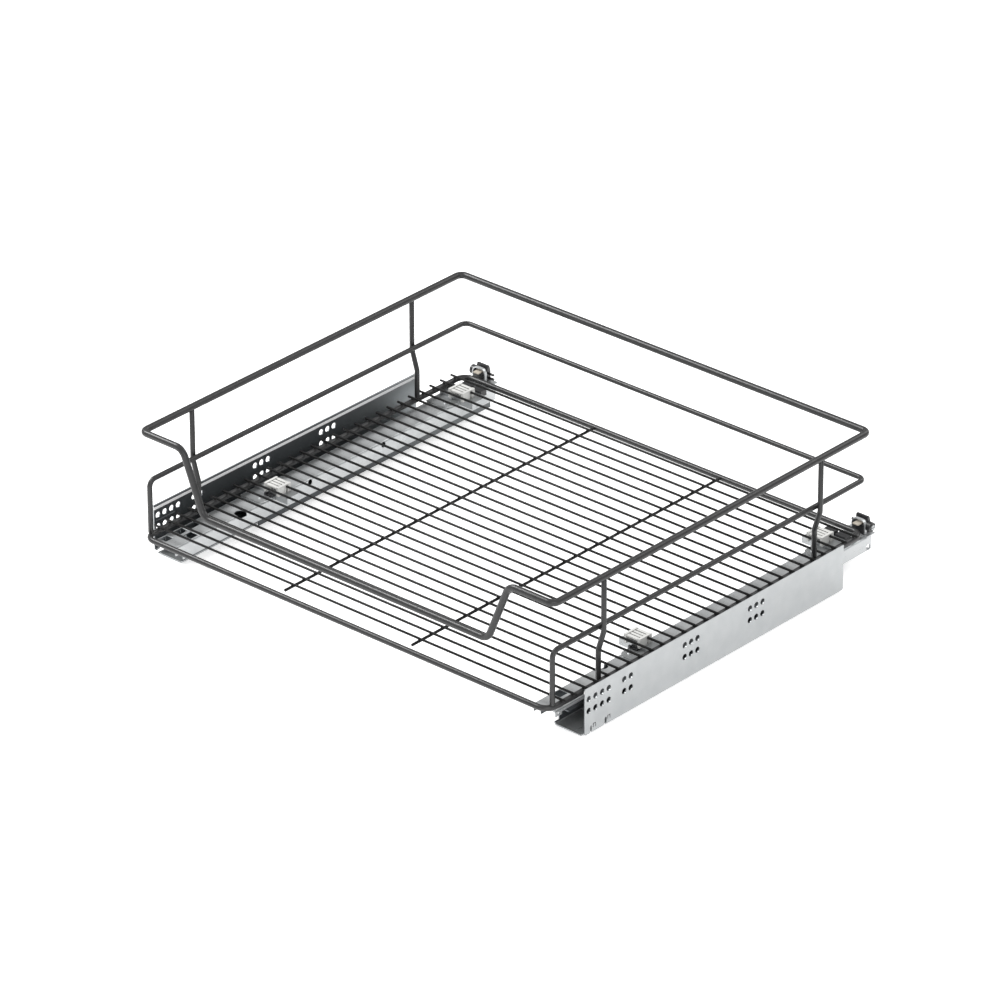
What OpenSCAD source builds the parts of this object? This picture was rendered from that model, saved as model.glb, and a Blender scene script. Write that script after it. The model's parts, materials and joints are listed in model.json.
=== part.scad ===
// Pull-out drawer unit: a welded wire basket on a pair of concealed telescopic runners.
// Lengths run along Y from the basket's front rim, heights from the rim's centreline.
// A runner's section is drawn inward from the cabinet's side and mirrored for the left one.

/* [Cabinet] */
// Clear width between the cabinet's sides
cabinet_w = 564; // [464:1:864]
// Distance from the basket's front rim to the front row of fixing holes
hole_line = 37; // [33:1:42]
// Pitch between the first and the last group of fixing holes, in steps of 32 mm
hole_steps = 8; // [7:1:9]

/* [Basket] */
// Depth of the basket between its front and rear rim wires
basket_d = 470.4; // [450:0.1:520]
// Height of the top rail above the base rim
basket_h = 114.1; // [90:0.1:200]
// Height of the front opening's rail above the base rim
dip_h = 47.5; // [30:0.5:60]
// Wire diameter of the top rail
top_wire = 7.2; // [5:0.1:8]
// Wire diameter of the base rim
rim_wire = 6; // [5:0.1:7]
// Wire diameter of the middle rail and the uprights
rail_wire = 5.4; // [4:0.1:6]
// Wire diameter of the floor wires
floor_wire = 2.5; // [2:0.1:4]
// Number of floor wires
floor_count = 28; // [20:1:30]

/* [Runners] */
// Length of the cabinet profile
cabinet_len = 385.2; // [370:0.1:400]
// Length of the middle profile
middle_len = 347; // [300:1:347]
// Sheet thickness of the drawer and middle profiles
sheet = 1.2; // [1:0.1:1.4]
// Sheet thickness of the cabinet profile
plate = 1.5; // [1.2:0.1:2]
// Diameter of the rollers
roller_d = 4.5; // [4:0.1:5]
// Rollers in each upper cage
upper_count = 5; // [3:1:6]
// Rollers in each lower cage
lower_count = 7; // [4:1:8]

/* [Hidden] */
$fn = 32;

// Clearances
weld = 0.05;
run_gap = 0.05;
seat = 0.02;
slide_gap = 0.8;
eps = 0.1;

// Places in the shared frame
side_gap = 19.5;
rim_x = cabinet_w / 2 - side_gap;
rim_r = rim_wire / 2;
runner_z = -35.5;
block_end = basket_d + 19.6;
centre_y = (block_end - rim_r) / 2;

// Basket wires
rim_bend = 12;
top_out = 4.25;
top_inset = 3.4;
top_bend = 7.5;
dip_bend = 13;
dip_stub = 55;
dip_run = 27;
mid_z = basket_h * 0.527;
mid_in = 0.5;
mid_front = 7.6;
mid_back = basket_d + 2;
mid_bend = 7.5;
upright_front = 75;
upright_back = 73.4;
upright_rear = basket_d - upright_back;
upright_jog = 6.7;
jog_top = mid_z - 4.1;
jog_drop = 22;
floor_z = rim_r + floor_wire / 2 + weld;
floor_first = 19.2;
floor_step = (basket_d - 14.34 - floor_first) / (floor_count - 1);
floor_reach = rim_x + 5.5;
long_wire = 3;
long_x = 83;
long_front = 8.6;
wire_sides = 12;
bend_steps = 6;
sheet_steps = 4;

// Drawer profile, measured inward from the cabinet's side
drawer_in = 48.4;
drawer_out = 20.3;
drawer_top = -6.85;
drawer_low = -23.75;
drawer_lip = 5.2;
drawer_front = 13;
drawer_rear = basket_d + 15.7;
drawer_bend = 1.8;
tab_low = -13;
tab_len = 9;
edge_low = -10;
wall_front = 56;
inner_front = 23;
inner_cut = -16;
window_y = 36.7;
window_len = 11.5;
window_pitch = 14.3;
window_w = 10.5;
front_window_y = 16.4;
lever_hole_y = 108.5;
lever_hole = 13;
notch = 6;
notch_z = -10.5;
notch_steps = [207, 316];
rear_hole = 6;
rear_hole_in = 5.2;
rear_hole_z = -18.9;
end_round = 2.5;
window_last = 14.5;

// Middle profile
middle_in = drawer_in - sheet - slide_gap;
middle_out = drawer_out + sheet + 1.1;
roller_room = roller_d + 2 * run_gap;
middle_top = drawer_top - sheet - roller_room;
middle_low = -31;
middle_edge = -21.7;
middle_lip = 4.9;
middle_rear = drawer_rear - 5.6;
middle_front = middle_rear - middle_len;
middle_bend = 1.2;

// Cabinet profile
cabinet_front = 31.8;
cabinet_rear = cabinet_front + cabinet_len;
cabinet_high = 14.1;
rail_in = 38.5;
rail_out = 26;
rail_top = middle_top - sheet - roller_room;
rail_bend = 1.6;
lip_lean = 1.6;
lip_high = 4.5;
flange_bend = 3.5;
flange_cut = 6;
slot_y = cabinet_front + 28.2;
slot_w = 3.2;
slot_top = -27.1;
foot_len = 7.4;
foot_slot_w = 2.4;
foot_low = runner_z + 2;
slot_in = 14;
relief_top = runner_z + 6;
corner_round = 2.5;
lobe_round = 4.5;
lance_w = 4.2;
lance_low = -29;
lance_high = -24.6;
lance_cut = 0.9;
bead_z = -1.6;
bead_len = 26;
bead_d = 1.8;
hole_d = 6.4;
hole_upper = 4.2;
hole_lower = -8.6;
small_pitch = 9.4;
second_group = 51.2;
third_group = 149.3;
hole_last = hole_line + hole_steps * 32;

// Carriages
upper_start = 118;
lower_start = 25;
roller_pitch = 22;
roller_len = 9;
roller_mid = 31.8;
cage_wall = 2;
cage_end = 4;
cage_thick = 2.2;
pocket_gap = 0.2;
upper_roller_z = middle_top + roller_room / 2;
lower_roller_z = rail_top + roller_room / 2;

// Brackets that carry the basket, with their clips and levers
bracket_sheet = 1.2;
bracket_reach = 65;
bracket_outer = drawer_out;
bracket_top = -rim_r - weld;
bracket_low = -9.9;
bracket_hole = 2.6;
plate_len = 21;
box_len = 22;
plate_corner = 8;
front_bracket_y = 135;
rear_bracket_y = basket_d - 59.4;
rivet_d = 5;
rivet_in = 8;
clip_from = 36;
clip_w = 20;
clip_len = 18;
clip_back = 6;
clip_high = 1.2;
clip_play = 0.1;
cheek_w = 2.8;
grid_low = 2;
grid_drop = 0.6;
grid_slits = 3;
slit_w = 1.4;
lever_from = 38;
lever_w = 11;
lever_len = 5;
lever_high = 1.2;
lever_tip = 2.6;
stop_from = 28;
stop_w = 29;
stop_len = 8.6;
stop_high = 6.2;
stop_waist = 3;

// Rear catches, measured inward from the cabinet's side
catch_front = basket_d + 6.6;
catch_len = 13;
strap_in = 40.5;
strap_out = 23.2;
strap_top = 9.6;
strap_bend = 5;
strap_front = catch_front + 1.8;
strap_len = 3.2;
block_in = strap_in - bracket_sheet - 0.1;
block_out = strap_out + bracket_sheet + 0.1;
block_step = 4.5;
block_top = 11.2;
block_front = strap_front - 0.6;
block_len = 11;
fin_front = 5.2;
fin_thick = 2.6;
fin_lean = 1.4;
peg_d = 2.6;
peg_len = 6.6;
peg_heights = [-2.4, 2.4];
knob_d = 10;
knob_y = block_front + 6.2;
knob_z = 2.2;
knob_in = strap_out - 0.1;
knob_out = 18.6;
stem_d = 4;
screw_d = 5.4;
screw_high = 1.4;
screw_slot = 1;
strip_w = 7;
strip_high = 1.2;

function unit(v) = v / norm(v);

// Points and directions of a round bend at corner q on the way from p to s
function bend_path(p, q, s, r, steps) =
  let (a = unit(p - q), b = unit(s - q), half = acos(a * b) / 2,
       c = q + unit(a + b) * r / sin(half), v = unit(q + a * r / tan(half) - c),
       t = -a, turn = 180 - 2 * half)
  [for (i = [0:steps]) let (f = turn * i / steps)
    [c + r * (v * cos(f) + t * sin(f)), t * cos(f) - v * sin(f)]];

// The whole path of a bent wire: corners and their bend radii
function wire_path(pts, radii, closed, steps) =
  let (n = len(pts))
  [for (i = [0:n - 1])
    each (!closed && i == 0) ? [[pts[0], unit(pts[1] - pts[0])]]
      : (!closed && i == n - 1) ? [[pts[n - 1], unit(pts[n - 1] - pts[n - 2])]]
      : bend_path(pts[(i + n - 1) % n], pts[i], pts[(i + 1) % n], radii[i], steps)];

// Side directions carried along a path without twisting
function carried(path, first) =
  [for (i = 0, u = first; i < len(path); i = i + 1,
        u = i < len(path) ? unit(u - (u * path[i][1]) * path[i][1]) : u) u];

// Outline of a bent sheet from its middle line, given by corners and bend radii
function sheet_outline(pts, radii, t) =
  let (path = wire_path([for (p = pts) [p[0], p[1], 0]], radii, false, sheet_steps), n = len(path),
       near = [for (s = path) [s[0][0] - s[1][1] * t / 2, s[0][1] + s[1][0] * t / 2]],
       far = [for (s = path) [s[0][0] + s[1][1] * t / 2, s[0][1] - s[1][0] * t / 2]])
  concat(near, [for (i = [n - 1:-1:0]) far[i]]);

module bent_wire(pts, radii, d, side, closed = false) {
  path = wire_path(pts, radii, closed, bend_steps);
  sides = carried(path, side);
  n = len(path);
  m = wire_sides;
  ring_points = [for (i = [0:n - 1]) let (u = sides[i], v = cross(path[i][1], u))
    for (k = [0:m - 1]) let (f = 360 * k / m) path[i][0] + d / 2 * (u * cos(f) + v * sin(f))];
  walls = [for (i = [0:closed ? n - 1 : n - 2]) for (k = [0:m - 1])
    [i * m + k, i * m + (k + 1) % m, ((i + 1) % n) * m + (k + 1) % m, ((i + 1) % n) * m + k]];
  ends = closed ? [] : [[for (k = [m - 1:-1:0]) k], [for (k = [0:m - 1]) (n - 1) * m + k]];
  polyhedron(points = ring_points,
             faces = [for (f = concat(walls, ends)) [for (k = [len(f) - 1:-1:0]) f[k]]]);
}

// Frame of the whole part: its lowest face at 0 and its middle on the Y axis
module seated() {
  translate([0, -centre_y, -runner_z]) children();
}

// Side: 1 for the right runner, -1 for the left one
module mirrored(side) {
  if (side > 0) {
    children();
  } else {
    mirror([1, 0, 0]) children();
  }
}

// A section drawn inward and upward, pulled along Y
module along(from, to) {
  translate([cabinet_w / 2, to, 0]) rotate([90, 0, 0]) linear_extrude(to - from) mirror([1, 0]) children();
}

// A block given by its inward, length and height spans
module block(u, y, z) {
  translate([cabinet_w / 2 - u[1], y[0], z[0]]) cube([u[1] - u[0], y[1] - y[0], z[1] - z[0]]);
}

// A round pin along X between two inward distances
module cross_pin(u, y, z, d) {
  translate([cabinet_w / 2 - u[1], y, z]) rotate([0, 90, 0]) cylinder(h = u[1] - u[0], d = d);
}

module base_rim() {
  color("dimgray") seated() bent_wire(
    [[-rim_x, 0, 0], [rim_x, 0, 0], [rim_x, basket_d, 0], [-rim_x, basket_d, 0]],
    [rim_bend, rim_bend, rim_bend, rim_bend], rim_wire, [0, 0, 1], true);
}

module middle_rail() {
  x = rim_x - mid_in;
  foot = rim_r + weld;
  color("dimgray") seated() bent_wire(
    [[-x, mid_front, foot], [-x, mid_front, mid_z], [-x, mid_back, mid_z],
     [x, mid_back, mid_z], [x, mid_front, mid_z], [x, mid_front, foot]],
    [0, mid_bend, mid_bend, mid_bend, mid_bend, 0], rail_wire, [1, 0, 0]);
}

module top_rail() {
  x = rim_x + top_out;
  dip_x = x - dip_stub;
  low_x = dip_x - dip_run;
  rear = basket_d + 0.8;
  color("dimgray") seated() bent_wire(
    [[-x, top_inset, basket_h], [-dip_x, top_inset, basket_h], [-low_x, top_inset, dip_h],
     [low_x, top_inset, dip_h], [dip_x, top_inset, basket_h], [x, top_inset, basket_h],
     [x, rear, basket_h], [-x, rear, basket_h]],
    [top_bend, dip_bend, dip_bend, dip_bend, dip_bend, top_bend, top_bend, top_bend],
    top_wire, [0, 0, 1], true);
}

module upright(side, y) {
  outer = rim_x - mid_in + rail_wire + 0.15;
  inner = outer - upright_jog;
  high = basket_h - top_wire / 2 - weld;
  color("dimgray") seated() mirrored(side) bent_wire(
    [[outer, y, high], [outer, y, jog_top], [inner, y, jog_top - jog_drop], [inner, y, rim_r + weld]],
    [0, 8, 8, 0], rail_wire, [0, 1, 0]);
}

module floor_wires() {
  color("dimgray") seated() for (i = [0:floor_count - 1])
    translate([-floor_reach, floor_first + i * floor_step, floor_z])
      rotate([0, 90, 0]) cylinder(h = 2 * floor_reach, d = floor_wire);
}

module lengthwise_wires() {
  z = floor_z - floor_wire / 2 - long_wire / 2 - weld;
  color("dimgray") seated() for (s = [-1, 1])
    translate([s * long_x, long_front, z])
      rotate([-90, 0, 0]) cylinder(h = basket_d - rim_r - weld - long_front, d = long_wire);
}

module cabinet_section() {
  half = plate / 2;
  polygon(sheet_outline(
    [[half + lip_lean, cabinet_high], [half, cabinet_high - lip_high], [half, runner_z + half],
     [rail_in - half, runner_z + half], [rail_in - half, rail_top - half], [rail_out, rail_top - half]],
    [0, 3, flange_bend, rail_bend, rail_bend, 0], plate));
}

module fixing_hole(y, z) {
  cross_pin([-eps, plate + eps], y, z, hole_d);
}

// Slit around three sides of a small tongue that stays joined at its lower end
module lanced_tongue(y) {
  difference() {
    block([-eps, plate + eps], [y, y + lance_w], [lance_low, lance_high]);
    block([-2 * eps, plate + 2 * eps], [y + lance_cut, y + lance_w - lance_cut],
          [lance_low - eps, lance_high - lance_cut]);
  }
}

// Slot with a round top cut up into the plate from its lower bend
module plate_slot(y, w) {
  cut = [-eps, slot_in];
  block(cut, [y, y + w], [runner_z - eps, slot_top]);
  cross_pin(cut, y + w / 2, slot_top, w);
}

// Rounds a corner at the plate's lower edge; way is 1 where the plate goes on behind y
module plate_corner_cut(y, way, r) {
  difference() {
    block([-eps, slot_in], [min(y - way * eps, y + way * r), max(y - way * eps, y + way * r)],
          [runner_z - eps, runner_z + r]);
    cross_pin([-2 * eps, slot_in + eps], y + way * r, runner_z + r, 2 * r);
  }
}

module cabinet_profile(side) {
  color("silver") seated() mirrored(side) difference() {
    union() {
      along(cabinet_front, cabinet_rear) cabinet_section();
      block([0, plate], [cabinet_front, cabinet_front + foot_len], [foot_low, relief_top]);
      translate([cabinet_w / 2 - plate, cabinet_front + 2, bead_z])
        rotate([-90, 0, 0]) cylinder(h = bead_len, d = bead_d);
    }
    for (z = [hole_upper, hole_lower]) {
      for (i = [0:3]) fixing_hole(hole_line + i * (small_pitch + 0.2), z);
      for (i = [0:1]) fixing_hole(hole_line + second_group + i * (small_pitch + 0.2), z);
      for (i = [-1:1]) fixing_hole(hole_line + third_group + i * small_pitch, z);
      for (i = [-2:0]) fixing_hole(hole_last + i * small_pitch, z);
    }
    plate_slot(slot_y, slot_w);
    plate_slot(cabinet_front + foot_len, foot_slot_w);
    for (y = [slot_y - lance_w * 4, slot_y + slot_w + lance_cut]) lanced_tongue(y);
    block([plate, slot_in], [cabinet_front - eps, cabinet_front + foot_len],
          [runner_z - eps, relief_top]);
    plate_corner_cut(cabinet_front, 1, lobe_round);
    plate_corner_cut(cabinet_front + foot_len, -1, lobe_round);
    plate_corner_cut(cabinet_front + foot_len + foot_slot_w, 1, lobe_round);
    plate_corner_cut(slot_y, -1, lobe_round);
    plate_corner_cut(slot_y + slot_w, 1, corner_round);
    block([rail_out - eps, rail_in + eps], [cabinet_front - eps, cabinet_front + flange_cut],
          [runner_z + flange_bend, rail_top + eps]);
  }
}

module middle_section() {
  half = sheet / 2;
  polygon(sheet_outline(
    [[middle_out + middle_lip, middle_edge + half], [middle_out + half, middle_edge + half],
     [middle_out + half, middle_top - half], [middle_in - half, middle_top - half],
     [middle_in - half, middle_low]],
    [0, middle_bend, middle_bend, middle_bend, 0], sheet));
}

module middle_profile(side) {
  color("silver") seated() mirrored(side) along(middle_front, middle_rear) middle_section();
}

module drawer_section() {
  half = sheet / 2;
  polygon(sheet_outline(
    [[drawer_out + drawer_lip, drawer_low + half], [drawer_out + half, drawer_low + half],
     [drawer_out + half, drawer_top - half], [drawer_in - half, drawer_top - half],
     [drawer_in - half, drawer_low]],
    [0, drawer_bend, drawer_bend, drawer_bend, 0], sheet));
}

// Windows, slots and cut-back corners punched in the drawer profile
module drawer_cuts() {
  top = [drawer_top - 2 * sheet, drawer_top + eps];
  outer = [drawer_out - eps, drawer_out + drawer_lip + eps];
  inner = [drawer_in - drawer_bend - sheet, drawer_in + eps];
  block([drawer_out + 2 * sheet, drawer_out + 2 * sheet + window_w - sheet],
        [window_y, window_y + window_len], top);
  block([drawer_out + 2 * sheet, drawer_out + 2 * sheet + window_w - sheet],
        [window_y + window_pitch, window_y + window_pitch + window_last], top);
  block([drawer_out + 2 * sheet, drawer_out + 2 * sheet + window_w - sheet],
        [front_window_y, front_window_y + window_w], top);
  block([drawer_in - 2 * sheet - window_w, drawer_in - 2 * sheet], [window_y, window_y + window_len], top);
  block(outer, [drawer_front - eps, drawer_front + tab_len], [drawer_low - eps, tab_low]);
  block(outer, [drawer_front + tab_len - eps, wall_front], [drawer_low - eps, edge_low]);
  block(outer, [drawer_front + tab_len / 3, drawer_front + 2 * tab_len / 3], [tab_low + 1.2, drawer_top - 2]);
  block(inner, [drawer_front - eps, inner_front], [drawer_low - eps, inner_cut]);
  translate([cabinet_w / 2 - drawer_in + lever_hole / 5, lever_hole_y, drawer_top - 4 * sheet])
    cylinder(h = 5 * sheet, d = lever_hole);
  for (y = notch_steps) cross_pin(inner, y, notch_z, notch);
  cross_pin(outer, drawer_rear - rear_hole_in, rear_hole_z, rear_hole);
  difference() {
    block(outer, [drawer_rear - end_round, drawer_rear + eps], [drawer_low - eps, drawer_low + end_round]);
    cross_pin([outer[0] - eps, outer[1] + eps], drawer_rear - end_round, drawer_low + end_round,
              2 * end_round);
  }
}

module drawer_profile(side) {
  color("silver") seated() mirrored(side) difference() {
    along(drawer_front, drawer_rear) drawer_section();
    drawer_cuts();
  }
}

module cage(front, count, z) {
  rear = front + (count - 1) * roller_pitch + roller_d + 2 * cage_end;
  pocket = roller_len / 2 + pocket_gap;
  difference() {
    block([roller_mid - roller_len / 2 - cage_wall, roller_mid + roller_len / 2 + cage_wall],
          [front, rear], [z - cage_thick / 2, z + cage_thick / 2]);
    for (i = [0:count - 1])
      block([roller_mid - pocket, roller_mid + pocket],
            [front + cage_end + i * roller_pitch - pocket_gap,
             front + cage_end + roller_d + i * roller_pitch + pocket_gap],
            [z - cage_thick, z + cage_thick]);
  }
}

module rollers(front, count, z) {
  for (i = [0:count - 1])
    cross_pin([roller_mid - roller_len / 2, roller_mid + roller_len / 2],
              front + cage_end + roller_d / 2 + i * roller_pitch, z, roller_d);
}

module lower_cage(side) {
  color("gainsboro") seated() mirrored(side) cage(middle_front + lower_start, lower_count, lower_roller_z);
}

module lower_rollers(side) {
  color("silver") seated() mirrored(side) rollers(middle_front + lower_start, lower_count, lower_roller_z);
}

module upper_cage(side) {
  color("gainsboro") seated() mirrored(side) cage(middle_front + upper_start, upper_count, upper_roller_z);
}

module upper_rollers(side) {
  color("silver") seated() mirrored(side) rollers(middle_front + upper_start, upper_count, upper_roller_z);
}

// Low plate on the drawer profile with a round front corner, and a raised box behind it
// that carries the base rim
module bracket(y) {
  box_y = y + plate_len;
  wall = bracket_sheet;
  plate_z = [drawer_top, drawer_top + wall];
  difference() {
    union() {
      block([bracket_outer, drawer_in], [y + plate_corner, box_y + box_len], plate_z);
      block([bracket_outer, drawer_in - plate_corner], [y, box_y], plate_z);
      translate([cabinet_w / 2 - drawer_in + plate_corner, y + plate_corner, drawer_top])
        cylinder(h = wall, r = plate_corner);
      block([bracket_outer, bracket_reach], [box_y, box_y + box_len], [bracket_top - wall, bracket_top]);
      block([bracket_outer, drawer_in + eps], [box_y, box_y + wall], [drawer_top, bracket_top]);
      block([drawer_in, bracket_reach], [box_y, box_y + wall], [bracket_low, bracket_top]);
      block([bracket_reach - wall, bracket_reach], [box_y, box_y + box_len], [bracket_low, bracket_top]);
    }
    cross_pin([bracket_reach - 2 * wall, bracket_reach + eps], box_y + box_len / 3,
              bracket_low + bracket_hole, bracket_hole);
  }
}

module front_bracket(side) {
  color("silver") seated() mirrored(side) bracket(front_bracket_y);
}

module rear_bracket(side) {
  color("silver") seated() mirrored(side) bracket(rear_bracket_y);
}

// Number of the first floor wire behind a place
function wire_behind(y) = ceil((y - floor_first) / floor_step);

// Clip on a bracket's box that bridges a floor wire: two cheeks along Y and a slitted top between them
module clip(box_y) {
  wire_y = floor_first + wire_behind(box_y + lever_len) * floor_step;
  low = bracket_top + seat;
  top = floor_z + floor_wire / 2 + clip_high;
  rear = wire_y + clip_back;
  front = rear - clip_len;
  room = floor_wire / 2 + clip_play;
  across = [clip_from - eps, clip_from + clip_w + eps];
  difference() {
    union() {
      for (u = [clip_from, clip_from + clip_w - cheek_w])
        block([u, u + cheek_w], [front, rear], [low, top]);
      block([clip_from + cheek_w - eps, clip_from + clip_w - cheek_w + eps], [front, rear],
            [top - grid_low, top - grid_drop]);
    }
    for (i = [1:grid_slits])
      block([clip_from + cheek_w, clip_from + clip_w - cheek_w],
            [front + i * clip_len / (grid_slits + 1) - slit_w / 2,
             front + i * clip_len / (grid_slits + 1) + slit_w / 2],
            [low, top + eps]);
    block(across, [wire_y - room, wire_y + room], [low - eps, floor_z]);
    cross_pin(across, wire_y, floor_z, 2 * room);
  }
}

module front_clip(side) {
  color("gainsboro") seated() mirrored(side) clip(front_bracket_y + plate_len);
}

module rear_clip(side) {
  color("gainsboro") seated() mirrored(side) clip(rear_bracket_y + plate_len);
}

// Release lever lying on the front bracket's plate, bent up at its two ends
module front_lever(side) {
  base = drawer_top + bracket_sheet + 0.05;
  y = front_bracket_y + plate_len - lever_len - 0.1;
  color("#202022") seated() mirrored(side) {
    block([lever_from, lever_from + lever_w], [y, y + lever_len], [base, base + lever_high]);
    for (u = [lever_from, lever_from + lever_w - lever_tip])
      block([u, u + lever_tip], [y, y + lever_tip], [base, base + 2 * lever_high]);
  }
}

// Stop on the drawer profile behind the rear bracket: two lumps joined by a lower waist
module rear_stop(side) {
  base = drawer_top + 0.05;
  y = rear_bracket_y + plate_len + box_len + eps;
  lump = (stop_w - stop_waist) / 2;
  color("#202022") seated() mirrored(side) {
    for (u = [stop_from, stop_from + stop_w - lump])
      block([u, u + lump], [y, y + stop_len], [base, base + stop_high]);
    block([stop_from, stop_from + stop_w], [y + stop_waist, y + stop_len - stop_waist],
          [base, base + stop_high / 2]);
  }
}

module bracket_rivets() {
  top = drawer_top + bracket_sheet;
  color("silver") seated() for (side = [-1, 1])
    mirrored(side) for (y = [front_bracket_y, rear_bracket_y])
      translate([cabinet_w / 2 - drawer_in + rivet_in, y + plate_corner, top]) cylinder(h = 1, d = rivet_d);
}

// Side outline of the rear block: a low step under the strap and a leaning fin behind it
module rear_block(side) {
  low = drawer_top + bracket_sheet + 0.05;
  fin = block_front + fin_front;
  rear = block_front + block_len;
  color("#202022") seated() mirrored(side) {
    translate([cabinet_w / 2 - block_in, 0, 0]) rotate([90, 0, 90]) linear_extrude(block_in - block_out)
      polygon([[block_front, low], [rear, low], [rear, block_step],
               [fin + fin_thick + fin_lean, block_top], [fin + fin_lean, block_top], [fin, block_step],
               [block_front, block_step]]);
    for (z = peg_heights)
      cross_pin([block_in - eps, block_in + peg_len], rear - peg_d, z, peg_d);
    cross_pin([knob_out, knob_in], knob_y, knob_z, knob_d);
    cross_pin([knob_in - eps, block_out + eps], knob_y, knob_z, stem_d);
  }
}

// Pale spring strip on the rear block's step, reaching forward to the rim
module rear_strip(side) {
  u = (block_in + block_out) / 2;
  color("#d8d4c8") seated() mirrored(side)
    block([u - strip_w / 2, u + strip_w / 2], [basket_d + rim_r + 0.8, block_front + fin_front - 0.1],
          [block_step + 0.05, block_step + strip_high]);
}

// Sheet-metal base on the drawer profile's end with a strap bent over the rear block
module rear_catch(side) {
  base = drawer_top + bracket_sheet / 2;
  half = bracket_sheet / 2;
  color("silver") seated() mirrored(side) {
    block([drawer_out - bracket_sheet, drawer_in], [catch_front, catch_front + catch_len],
          [drawer_top, drawer_top + bracket_sheet]);
    along(strap_front, strap_front + strap_len)
      polygon(sheet_outline([[strap_out + half, base], [strap_out + half, strap_top - half],
                             [strap_in - half, strap_top - half], [strap_in - half, base]],
                            [0, strap_bend, strap_bend, 0], bracket_sheet));
  }
}

module rear_screws() {
  color("silver") seated() for (side = [-1, 1])
    mirrored(side) difference() {
      cross_pin([knob_out - screw_high, knob_out - seat], knob_y, knob_z, screw_d);
      block([knob_out - screw_high - eps, knob_out - screw_high / 2], [knob_y - screw_d, knob_y + screw_d],
            [knob_z - screw_slot / 2, knob_z + screw_slot / 2]);
    }
}

base_rim();
middle_rail();
top_rail();
upright(-1, upright_front);  // upright_front_left
upright(1, upright_front);  // upright_front_right
upright(-1, upright_rear);  // upright_rear_left
upright(1, upright_rear);  // upright_rear_right
floor_wires();
lengthwise_wires();
cabinet_profile(-1);  // cabinet_profile_left
cabinet_profile(1);  // cabinet_profile_right
middle_profile(-1);  // middle_profile_left
middle_profile(1);  // middle_profile_right
drawer_profile(-1);  // drawer_profile_left
drawer_profile(1);  // drawer_profile_right
lower_cage(-1);  // lower_cage_left
lower_cage(1);  // lower_cage_right
lower_rollers(-1);  // lower_rollers_left
lower_rollers(1);  // lower_rollers_right
upper_cage(-1);  // upper_cage_left
upper_cage(1);  // upper_cage_right
upper_rollers(-1);  // upper_rollers_left
upper_rollers(1);  // upper_rollers_right
front_bracket(-1);  // front_bracket_left
front_bracket(1);  // front_bracket_right
rear_bracket(-1);  // rear_bracket_left
rear_bracket(1);  // rear_bracket_right
front_clip(-1);  // front_clip_left
front_clip(1);  // front_clip_right
rear_clip(-1);  // rear_clip_left
rear_clip(1);  // rear_clip_right
bracket_rivets();
rear_screws();
front_lever(-1);  // front_lever_left
front_lever(1);  // front_lever_right
rear_stop(-1);  // rear_stop_left
rear_stop(1);  // rear_stop_right
rear_block(-1);  // rear_block_left
rear_block(1);  // rear_block_right
rear_strip(-1);  // rear_strip_left
rear_strip(1);  // rear_strip_right
rear_catch(-1);  // rear_catch_left
rear_catch(1);  // rear_catch_right
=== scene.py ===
"""Looks of a pull-out drawer unit: a coated wire basket on a pair of zinc-plated telescopic runners.

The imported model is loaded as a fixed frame. The basket's wires are built again as smooth tubes with their
weld nuggets, the cabinet profiles are drawn again with an upright lip, and the rivets get domed heads. The
other nodes keep their shape and get fine edges. Every piece gets a procedural finish. Lengths are
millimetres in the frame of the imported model, turned into metres by mm(), where nothing else is said.
"""

from __future__ import annotations

import json
import logging
import math
import random
from dataclasses import dataclass
from enum import Enum

import bmesh
import bpy
from mathutils import Matrix, Vector


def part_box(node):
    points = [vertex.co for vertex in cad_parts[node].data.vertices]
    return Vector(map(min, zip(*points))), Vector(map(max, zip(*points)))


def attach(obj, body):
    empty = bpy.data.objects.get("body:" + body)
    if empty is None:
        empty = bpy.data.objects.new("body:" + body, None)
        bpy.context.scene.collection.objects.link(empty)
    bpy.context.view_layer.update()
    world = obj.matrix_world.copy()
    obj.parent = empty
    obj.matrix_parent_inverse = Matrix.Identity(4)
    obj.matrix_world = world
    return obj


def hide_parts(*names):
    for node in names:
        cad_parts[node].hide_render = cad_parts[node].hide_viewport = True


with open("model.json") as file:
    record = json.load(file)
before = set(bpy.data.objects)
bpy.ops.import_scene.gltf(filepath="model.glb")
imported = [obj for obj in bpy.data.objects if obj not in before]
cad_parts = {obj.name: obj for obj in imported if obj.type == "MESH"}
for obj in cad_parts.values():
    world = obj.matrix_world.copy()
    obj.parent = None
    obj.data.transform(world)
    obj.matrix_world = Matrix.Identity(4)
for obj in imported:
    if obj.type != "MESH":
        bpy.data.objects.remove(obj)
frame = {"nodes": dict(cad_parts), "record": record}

LOG = logging.getLogger("drawer_unit")

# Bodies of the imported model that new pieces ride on
DRAWER = "drawer"
CABINET = "cabinet_rails"

# First words of the nodes that new pieces replace
REDRAWN = ("base_rim", "top_rail", "middle_rail", "upright", "floor_wires", "lengthwise_wires",
           "bracket_rivets", "cabinet_profile")

# Tubes: sides, steps of a bend, and the softened end of an open tube as shares of its radius
TUBE_SIDES = 24
BEND_STEPS = 14
END_LENGTH = 0.25
END_SIZE = 0.8

# Share of its direction that points up, above which a tube's first ring is turned from X and not from Z
STEEP = 0.9

# Edges flatter than this, in degrees, are shaded smooth
SMOOTH_ANGLE = 50.0

# Weld nuggets: seed, largest turn in radians, and least and greatest share of their size
SEED = 7
NUGGET_TURN = 0.3
NUGGET_SHARE = (0.92, 1.06)

# Sockets of a mix node that mixes colours
MIX_FACTOR, MIX_FIRST, MIX_SECOND, MIX_RESULT = 0, 6, 7, 2

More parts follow.
